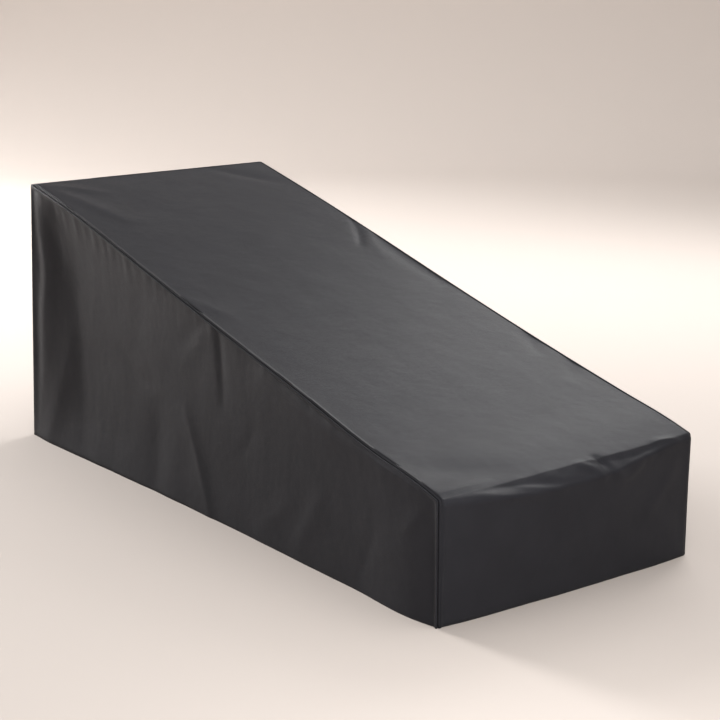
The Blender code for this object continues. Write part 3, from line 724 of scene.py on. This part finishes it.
def sheet_object(name, grid, lips, outward, cloth_uv):
    """One panel: a grid of points, its sewn edges turned in, thickened inwards into a closed sheet."""
    rows, columns = grid.shape[:2]
    sheet = bmesh.new()
    verts = [[sheet.verts.new(grid[r, c]) for c in range(columns)] for r in range(rows)]
    spots = {verts[r][c]: cloth_uv[r, c] for r in range(rows) for c in range(columns)}
    for r in range(rows - 1):
        for c in range(columns - 1):
            sheet.faces.new((verts[r][c], verts[r][c + 1], verts[r + 1][c + 1], verts[r + 1][c]))
    turn_in(sheet, verts, lips, spots)
    bmesh.ops.recalc_face_normals(sheet, faces=sheet.faces)
    sheet.faces.ensure_lookup_table()
    middle_face = sheet.faces[(rows // 2) * (columns - 1) + columns // 2]
    if middle_face.normal.dot(outward) < 0:
        bmesh.ops.reverse_faces(sheet, faces=sheet.faces)
    layer = sheet.loops.layers.uv.new("cloth")
    for face in sheet.faces:
        for loop in face.loops:
            loop[layer].uv = spots[loop.vert]
    mesh = bpy.data.meshes.new(name)
    sheet.to_mesh(mesh)
    sheet.free()
    mesh.shade_smooth()
    panel = bpy.data.objects.new(name, mesh)
    bpy.context.collection.objects.link(panel)
    thick = panel.modifiers.new("thickness", "SOLIDIFY")
    thick.thickness = CLOTH
    thick.offset = -1.0
    return panel


# ---------------------------------------------------------------- the side panels

def side_edges(side, rows):
    """Lips round a side panel, and where its head, top and foot edges run."""
    name = side_name(side)
    places = slope_places()
    foot_top = post_top("foot_" + name)[2]
    arc_half = CORNER_POINTS // 2
    foot_shares = wall_shares(rows, foot_top)[1 + arc_half:]
    slope = slope_seam(side, places, post_shares(side, places, foot_top * (1 - foot_shares)))
    head_post = head_post_seam(side, wall_shares(rows, post_top("head_" + name)[2]))
    lips = sewn_edge([head_post[::-1], slope], SIDE_LIP_RADIUS)
    edge = np.array([points[0] for points in lips])
    head_corner = len(head_post) - 1
    foot_corner = head_corner + len(places) + arc_half
    return lips, edge[head_corner::-1], edge[head_corner:foot_corner + 1], edge[foot_corner:]


def side_hem(side, head, foot, shares):
    """Hem of a side panel between its two corners, standing out as SIDE_HEMS says."""
    y = between(head[1], foot[1], shares)
    out = column(SIDE_HEMS, "along", side_name(side), 2 * y / LENGTH)
    free = ease(np.minimum(y - y.min(), y.max() - y), HEM_EASE)
    x = side * (WIDTH / 2 + out) * free + between(head[0], foot[0], shares) * (1 - free)
    return np.stack((x, y, np.zeros_like(y)), axis=1)


def patch(top, hem, head, foot, along, down):
    """Grid of points between four edges; along and down are the shares of its columns and rows."""
    s = along[None, :, None]
    t = down[:, None, None]
    rows = (1 - t) * top[None] + t * hem[None]
    columns = (1 - s) * head[:, None] + s * foot[:, None]
    top_corners = (1 - s) * top[0] + s * top[-1]
    hem_corners = (1 - s) * hem[0] + s * hem[-1]
    return rows + columns - (1 - t) * top_corners - t * hem_corners


def side_panel(side, rows, folds, fan, gathers, seed):
    lips, head, top, foot = side_edges(side, rows)
    along = (top[0, 1] - top[:, 1]) / (top[0, 1] - top[-1, 1])
    down = (head[0, 2] - head[:, 2]) / head[0, 2]
    grid = patch(top, side_hem(side, head[-1], foot[-1], along), head, foot, along, down)
    y, z = grid[..., 1], grid[..., 2]
    below = np.abs(z[:1] - z)
    from_seam = np.minimum(np.minimum(y[:, :1] - y, y - y[:, -1:]), below)
    bulge = relief(folds, y, z) + fanned(fan, y, z) + drape(y, z, seed, WALL_STRETCH)
    bulge += stitched(y, below, seed) + gathered(gathers, y, below, seed)
    grid[..., 0] += side * ease(from_seam, FOLD_FADE) * bulge
    uv = np.stack((y, z), axis=2)
    return sheet_object("cover_side_" + side_name(side), grid, lips, X_AXIS * side, uv)


# ---------------------------------------------------------------- the top and front panel

def top_tilt():
    """Outward normal of the slope."""
    return top_outward(unit(post_top("foot_left") - post_top("head_left")))


def foot_section(top_edge, slope_run, hem, place):
    """Section of the cloth over the foot edge at one place across: points from the slope to the hem."""
    drop = column(SHOULDERS, "across", "drop", place)
    bow = column(SHOULDERS, "across", "bow", place)
    knee = top_edge + np.array((0.0, -bow, -drop))
    upper = corner_arc(top_edge - slope_run, top_edge, knee, TOP_TURN_RADIUS)
    lower = corner_arc(top_edge, knee, hem, KNEE_TURN_RADIUS)
    facet = steps_between(upper[-1], lower[0], FACET_ROWS)[:-1]
    wall = steps_between(lower[-1], hem, WALL_ROWS)
    return upper + facet + lower + wall


def top_front_grid(places, across):
    """Points of the top and front before their folds: rows from the head seam to the foot hem."""
    left_line = np.array([slope_point(-1, place) for place in places])
    right_line = np.array([slope_point(1, place) for place in places])
    sag = TOP_SAG * ease((1 - np.abs(places)) * LENGTH / 2, SAG_REACH)
    columns = []
    for place in across:
        share = (place + 1) / 2
        slope = between(left_line, right_line, share)
        slope = slope - top_tilt() * (sag * (1 - place ** 2))[:, None]
        top_edge = between(post_top("foot_left"), post_top("foot_right"), share)
        hem = between(post_hem("foot_left"), post_hem("foot_right"), share)
        hem[1] -= column(END_HEMS, "across", "foot", place)
        section = foot_section(top_edge, unit(top_edge - slope[-1]), hem, place)
        columns.append(np.concatenate((slope, section)))
    return np.stack(columns, axis=1)


def top_front_shift(grid, length, slope_rows, seed):
    """How far and which way the folds move each point of the top and front."""
    x, y, z = grid[..., 0], grid[..., 1], grid[..., 2]
    past = length - length[slope_rows + CORNER_POINTS // 2]
    on_slope = (np.arange(len(grid)) < slope_rows)[:, None]
    from_sides = ease(np.minimum(x - x[:, :1], x[:, -1:] - x) - FOLD_CLEAR, FOLD_FADE)
    from_head = ease(y[:1] - y - FOLD_CLEAR, FOLD_FADE)
    crumple = layered(SHOULDER_CRUMPLE, x, past, seed)
    crumple *= np.exp(-((past - SHOULDER_MIDDLE) / SHOULDER_SPREAD) ** 2)
    bulge = relief(TOP_FOLDS, x, y) * from_head * on_slope
    bulge += relief(FRONT_FOLDS, x, z) * ~on_slope
    bulge += relief(SHOULDER_FOLDS, x, past) + crumple
    bulge += drape(x, length, seed, TOP_STRETCH) * from_head
    turned = ease(past + TURN_START, TURN_REACH)[..., None]
    ways = top_tilt() * (1 - turned) - Y_AXIS * turned
    ways /= np.linalg.norm(ways, axis=2)[..., None]
    return ways * (from_sides * bulge)[..., None]


def top_front_panel(seed):
    places = slope_places()
    across = across_places(TOP_CELL)
    grid = top_front_grid(places, across)
    below = grid[len(places) + CORNER_POINTS:, :, 2]
    left = swapped(slope_seam(-1, places, post_shares(-1, places, below[:, 0])))
    right = swapped(slope_seam(1, places, post_shares(1, places, below[:, -1])))
    lips = sewn_edge([left[::-1], head_top_seam(across), right], TOP_LIP_RADIUS)
    steps = np.linalg.norm(np.diff(grid, axis=0), axis=2)
    length = np.concatenate((np.zeros((1, len(across))), np.cumsum(steps, axis=0)))
    shift = top_front_shift(grid, length, len(places), seed)
    uv = np.stack((grid[..., 0], length), axis=2)
    return sheet_object("cover_top_front", grid + shift, lips, Z_AXIS, uv)


# ---------------------------------------------------------------- the back panel

def back_panel(seed):
    across = across_places(BACK_CELL)
    shares = wall_shares(BACK_ROWS, post_top("head_left")[2])
    grid = np.zeros((len(shares), len(across), 3))
    for c, place in enumerate(across):
        top = between(post_top("head_left"), post_top("head_right"), (place + 1) / 2)
        hem = between(post_hem("head_left"), post_hem("head_right"), (place + 1) / 2)
        hem[1] += column(END_HEMS, "across", "head", place)
        grid[:, c] = between(top, hem, shares[:, None])
    x, z = grid[..., 0], grid[..., 2]
    from_sides = ease(np.minimum(x - x[:, :1], x[:, -1:] - x) - FOLD_CLEAR, FOLD_FADE)
    from_top = ease(z[:1] - z - FOLD_CLEAR, FOLD_FADE)
    bulge = relief(BACK_FOLDS, x, z) + drape(x, z, seed, WALL_STRETCH)
    grid[..., 1] += from_sides * from_top * bulge
    left = swapped(head_post_seam(-1, shares))
    right = swapped(head_post_seam(1, shares))
    lips = sewn_edge([left[::-1], swapped(head_top_seam(across)), right], SIDE_LIP_RADIUS)
    return sheet_object("cover_back", grid, lips, Y_AXIS, np.stack((x, z), axis=2))


# ---------------------------------------------------------------- the cloth's look

def add(tree, kind, **values):
    """A new node, with named settings or inputs."""
    node = tree.nodes.new(kind)
    for key, value in values.items():
        if key in node.inputs:
            node.inputs[key].default_value = value
        else:
            setattr(node, key, value)
    return node


def mottled_colour(tree, place):
    """A faint mottle between the cloth's two tones."""
    mottle = add(tree, "ShaderNodeTexNoise", Scale=9.0, Detail=4.0, Roughness=0.6)
    tree.links.new(place, mottle.inputs["Vector"])
    ramp = add(tree, "ShaderNodeValToRGB")
    dark, light = ramp.color_ramp.elements
    dark.position, dark.color = 0.25, CLOTH_DARK
    light.position, light.color = 0.75, CLOTH_LIGHT
    tree.links.new(mottle.outputs["Fac"], ramp.inputs["Fac"])
    return ramp.outputs["Color"]


def woven_height(tree, place):
    """Height of a plain weave: a wave along each of the two threads, multiplied."""
    scaled = add(tree, "ShaderNodeVectorMath", operation="SCALE", Scale=2 * math.pi / WEAVE_PITCH)
    tree.links.new(place, scaled.inputs[0])
    parts = add(tree, "ShaderNodeSeparateXYZ")
    tree.links.new(scaled.outputs["Vector"], parts.inputs["Vector"])
    weave = add(tree, "ShaderNodeMath", operation="MULTIPLY")
    for index, axis in enumerate("XY"):
        wave = add(tree, "ShaderNodeMath", operation="SINE")
        tree.links.new(parts.outputs[axis], wave.inputs[0])
        tree.links.new(wave.outputs[0], weave.inputs[index])
    return weave.outputs[0]


def bumped_normal(tree, place):
    """The weave, and small soft wrinkles over it."""
    threads = add(tree, "ShaderNodeBump", Strength=0.35, Distance=WEAVE_HEIGHT)
    tree.links.new(woven_height(tree, place), threads.inputs["Height"])
    wrinkle = add(tree, "ShaderNodeTexNoise", Scale=42.0, Detail=3.0, Roughness=0.55)
    tree.links.new(place, wrinkle.inputs["Vector"])
    wrinkles = add(tree, "ShaderNodeBump", Strength=0.25, Distance=WRINKLE_HEIGHT)
    tree.links.new(wrinkle.outputs["Fac"], wrinkles.inputs["Height"])
    tree.links.new(threads.outputs["Normal"], wrinkles.inputs["Normal"])
    return wrinkles.outputs["Normal"]


def cloth_material():
    material = bpy.data.materials.new("coated_polyester")
    material.use_nodes = True
    tree = material.node_tree
    shader = tree.nodes["Principled BSDF"]
    shader.inputs["Roughness"].default_value = CLOTH_ROUGHNESS
    shader.inputs["Specular IOR Level"].default_value = CLOTH_GLOSS
    shader.inputs["Sheen Weight"].default_value = CLOTH_SHEEN
    shader.inputs["Sheen Roughness"].default_value = CLOTH_SHEEN_ROUGHNESS
    place = add(tree, "ShaderNodeUVMap", uv_map="cloth").outputs["UV"]
    tree.links.new(mottled_colour(tree, place), shader.inputs["Base Color"])
    tree.links.new(bumped_normal(tree, place), shader.inputs["Normal"])
    return material


# ---------------------------------------------------------------- stage, light and camera

def floor_material():
    material = bpy.data.materials.new("pale_floor")
    material.use_nodes = True
    shader = material.node_tree.nodes["Principled BSDF"]
    shader.inputs["Base Color"].default_value = FLOOR_COLOUR
    shader.inputs["Roughness"].default_value = FLOOR_ROUGHNESS
    shader.inputs["Specular IOR Level"].default_value = FLOOR_GLOSS
    return material


def studio_floor():
    """A pale floor that curves up into a round wall, far from the cover on every side."""
    flat = FLOOR_RADIUS - COVE_RADIUS
    profile = [(0.0, 0.0), (flat, 0.0)]
    for step in range(1, COVE_STEPS + 1):
        angle = step / COVE_STEPS * math.pi / 2
        profile.append((flat + COVE_RADIUS * math.sin(angle), COVE_RADIUS * (1 - math.cos(angle))))
    profile.append((FLOOR_RADIUS, WALL_HEIGHT))
    work = bmesh.new()
    verts = [work.verts.new((r, 0.0, z)) for r, z in profile]
    edges = [work.edges.new(pair) for pair in zip(verts[:-1], verts[1:])]
    bmesh.ops.spin(work, geom=verts + edges, cent=(0, 0, 0), axis=(0, 0, 1), angle=2 * math.pi,
                   steps=FLOOR_SEGMENTS)
    bmesh.ops.remove_doubles(work, verts=work.verts, dist=0.0001)
    bmesh.ops.recalc_face_normals(work, faces=work.faces)
    mesh = bpy.data.meshes.new("studio_floor")
    work.to_mesh(mesh)
    work.free()
    mesh.shade_smooth()
    mesh.materials.append(floor_material())
    floor = bpy.data.objects.new("studio_floor", mesh)
    bpy.context.collection.objects.link(floor)


def soft_light(lamp):
    data = bpy.data.lights.new(lamp.name, "AREA")
    data.shape = "RECTANGLE"
    data.size, data.size_y = lamp.size
    data.energy = lamp.watts
    light = bpy.data.objects.new(lamp.name, data)
    light.location = lamp.place
    light.rotation_mode = "QUATERNION"
    aim = np.array(lamp.target) - np.array(lamp.place)
    light.rotation_quaternion = Vector(aim).to_track_quat("-Z", "Y")
    light.visible_camera = False
    bpy.context.collection.objects.link(light)


def sky_light():
    """A very wide soft light from overhead."""
    data = bpy.data.lights.new("sky", "SUN")
    data.angle = SKY_SPREAD
    data.energy = SKY_STRENGTH
    light = bpy.data.objects.new("sky", data)
    light.rotation_euler = SKY_TILT
    bpy.context.collection.objects.link(light)


def studio():
    studio_floor()
    world = bpy.data.worlds.new("studio")
    bpy.context.scene.world = world
    world.use_nodes = True
    background = world.node_tree.nodes["Background"]
    background.inputs["Color"].default_value = (1.0, 1.0, 1.0, 1.0)
    background.inputs["Strength"].default_value = WORLD_STRENGTH
    sky_light()
    for lamp in SOFT_LIGHTS:
        soft_light(lamp)
    bpy.context.scene.view_settings.view_transform = "Standard"


def photo_camera():
    """The photograph's viewpoint, fitted to the cover's corners in its 720 by 720 frame."""
    data = bpy.data.cameras.new("camera")
    data.lens = CAMERA_LENS
    data.sensor_width = CAMERA_SENSOR
    camera = bpy.data.objects.new("camera", data)
    camera.location = CAMERA_PLACE
    camera.rotation_euler = (math.radians(90 - CAMERA_PITCH), 0.0, math.radians(-CAMERA_YAW))
    bpy.context.collection.objects.link(camera)
    bpy.context.scene.camera = camera


def dress(panel, node, cloth):
    """Give a panel its cloth, hang it from the root body, and hide the solid it stands for."""
    panel.data.materials.append(cloth)
    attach(panel, "root")
    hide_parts(node)


def main():
    photo_camera()
    studio()
    cloth = cloth_material()
    top_front = top_front_panel(TOP_SEED)
    left = side_panel(-1, LEFT_ROWS, LEFT_FOLDS, LEFT_FAN, LEFT_GATHERS, LEFT_SEED)
    right = side_panel(1, RIGHT_ROWS, RIGHT_FOLDS, (), (), RIGHT_SEED)
    back = back_panel(BACK_SEED)
    dress(top_front, "top_front_panel", cloth)
    dress(left, "side_panel_left", cloth)
    dress(right, "side_panel_right", cloth)
    dress(back, "back_panel", cloth)


main()
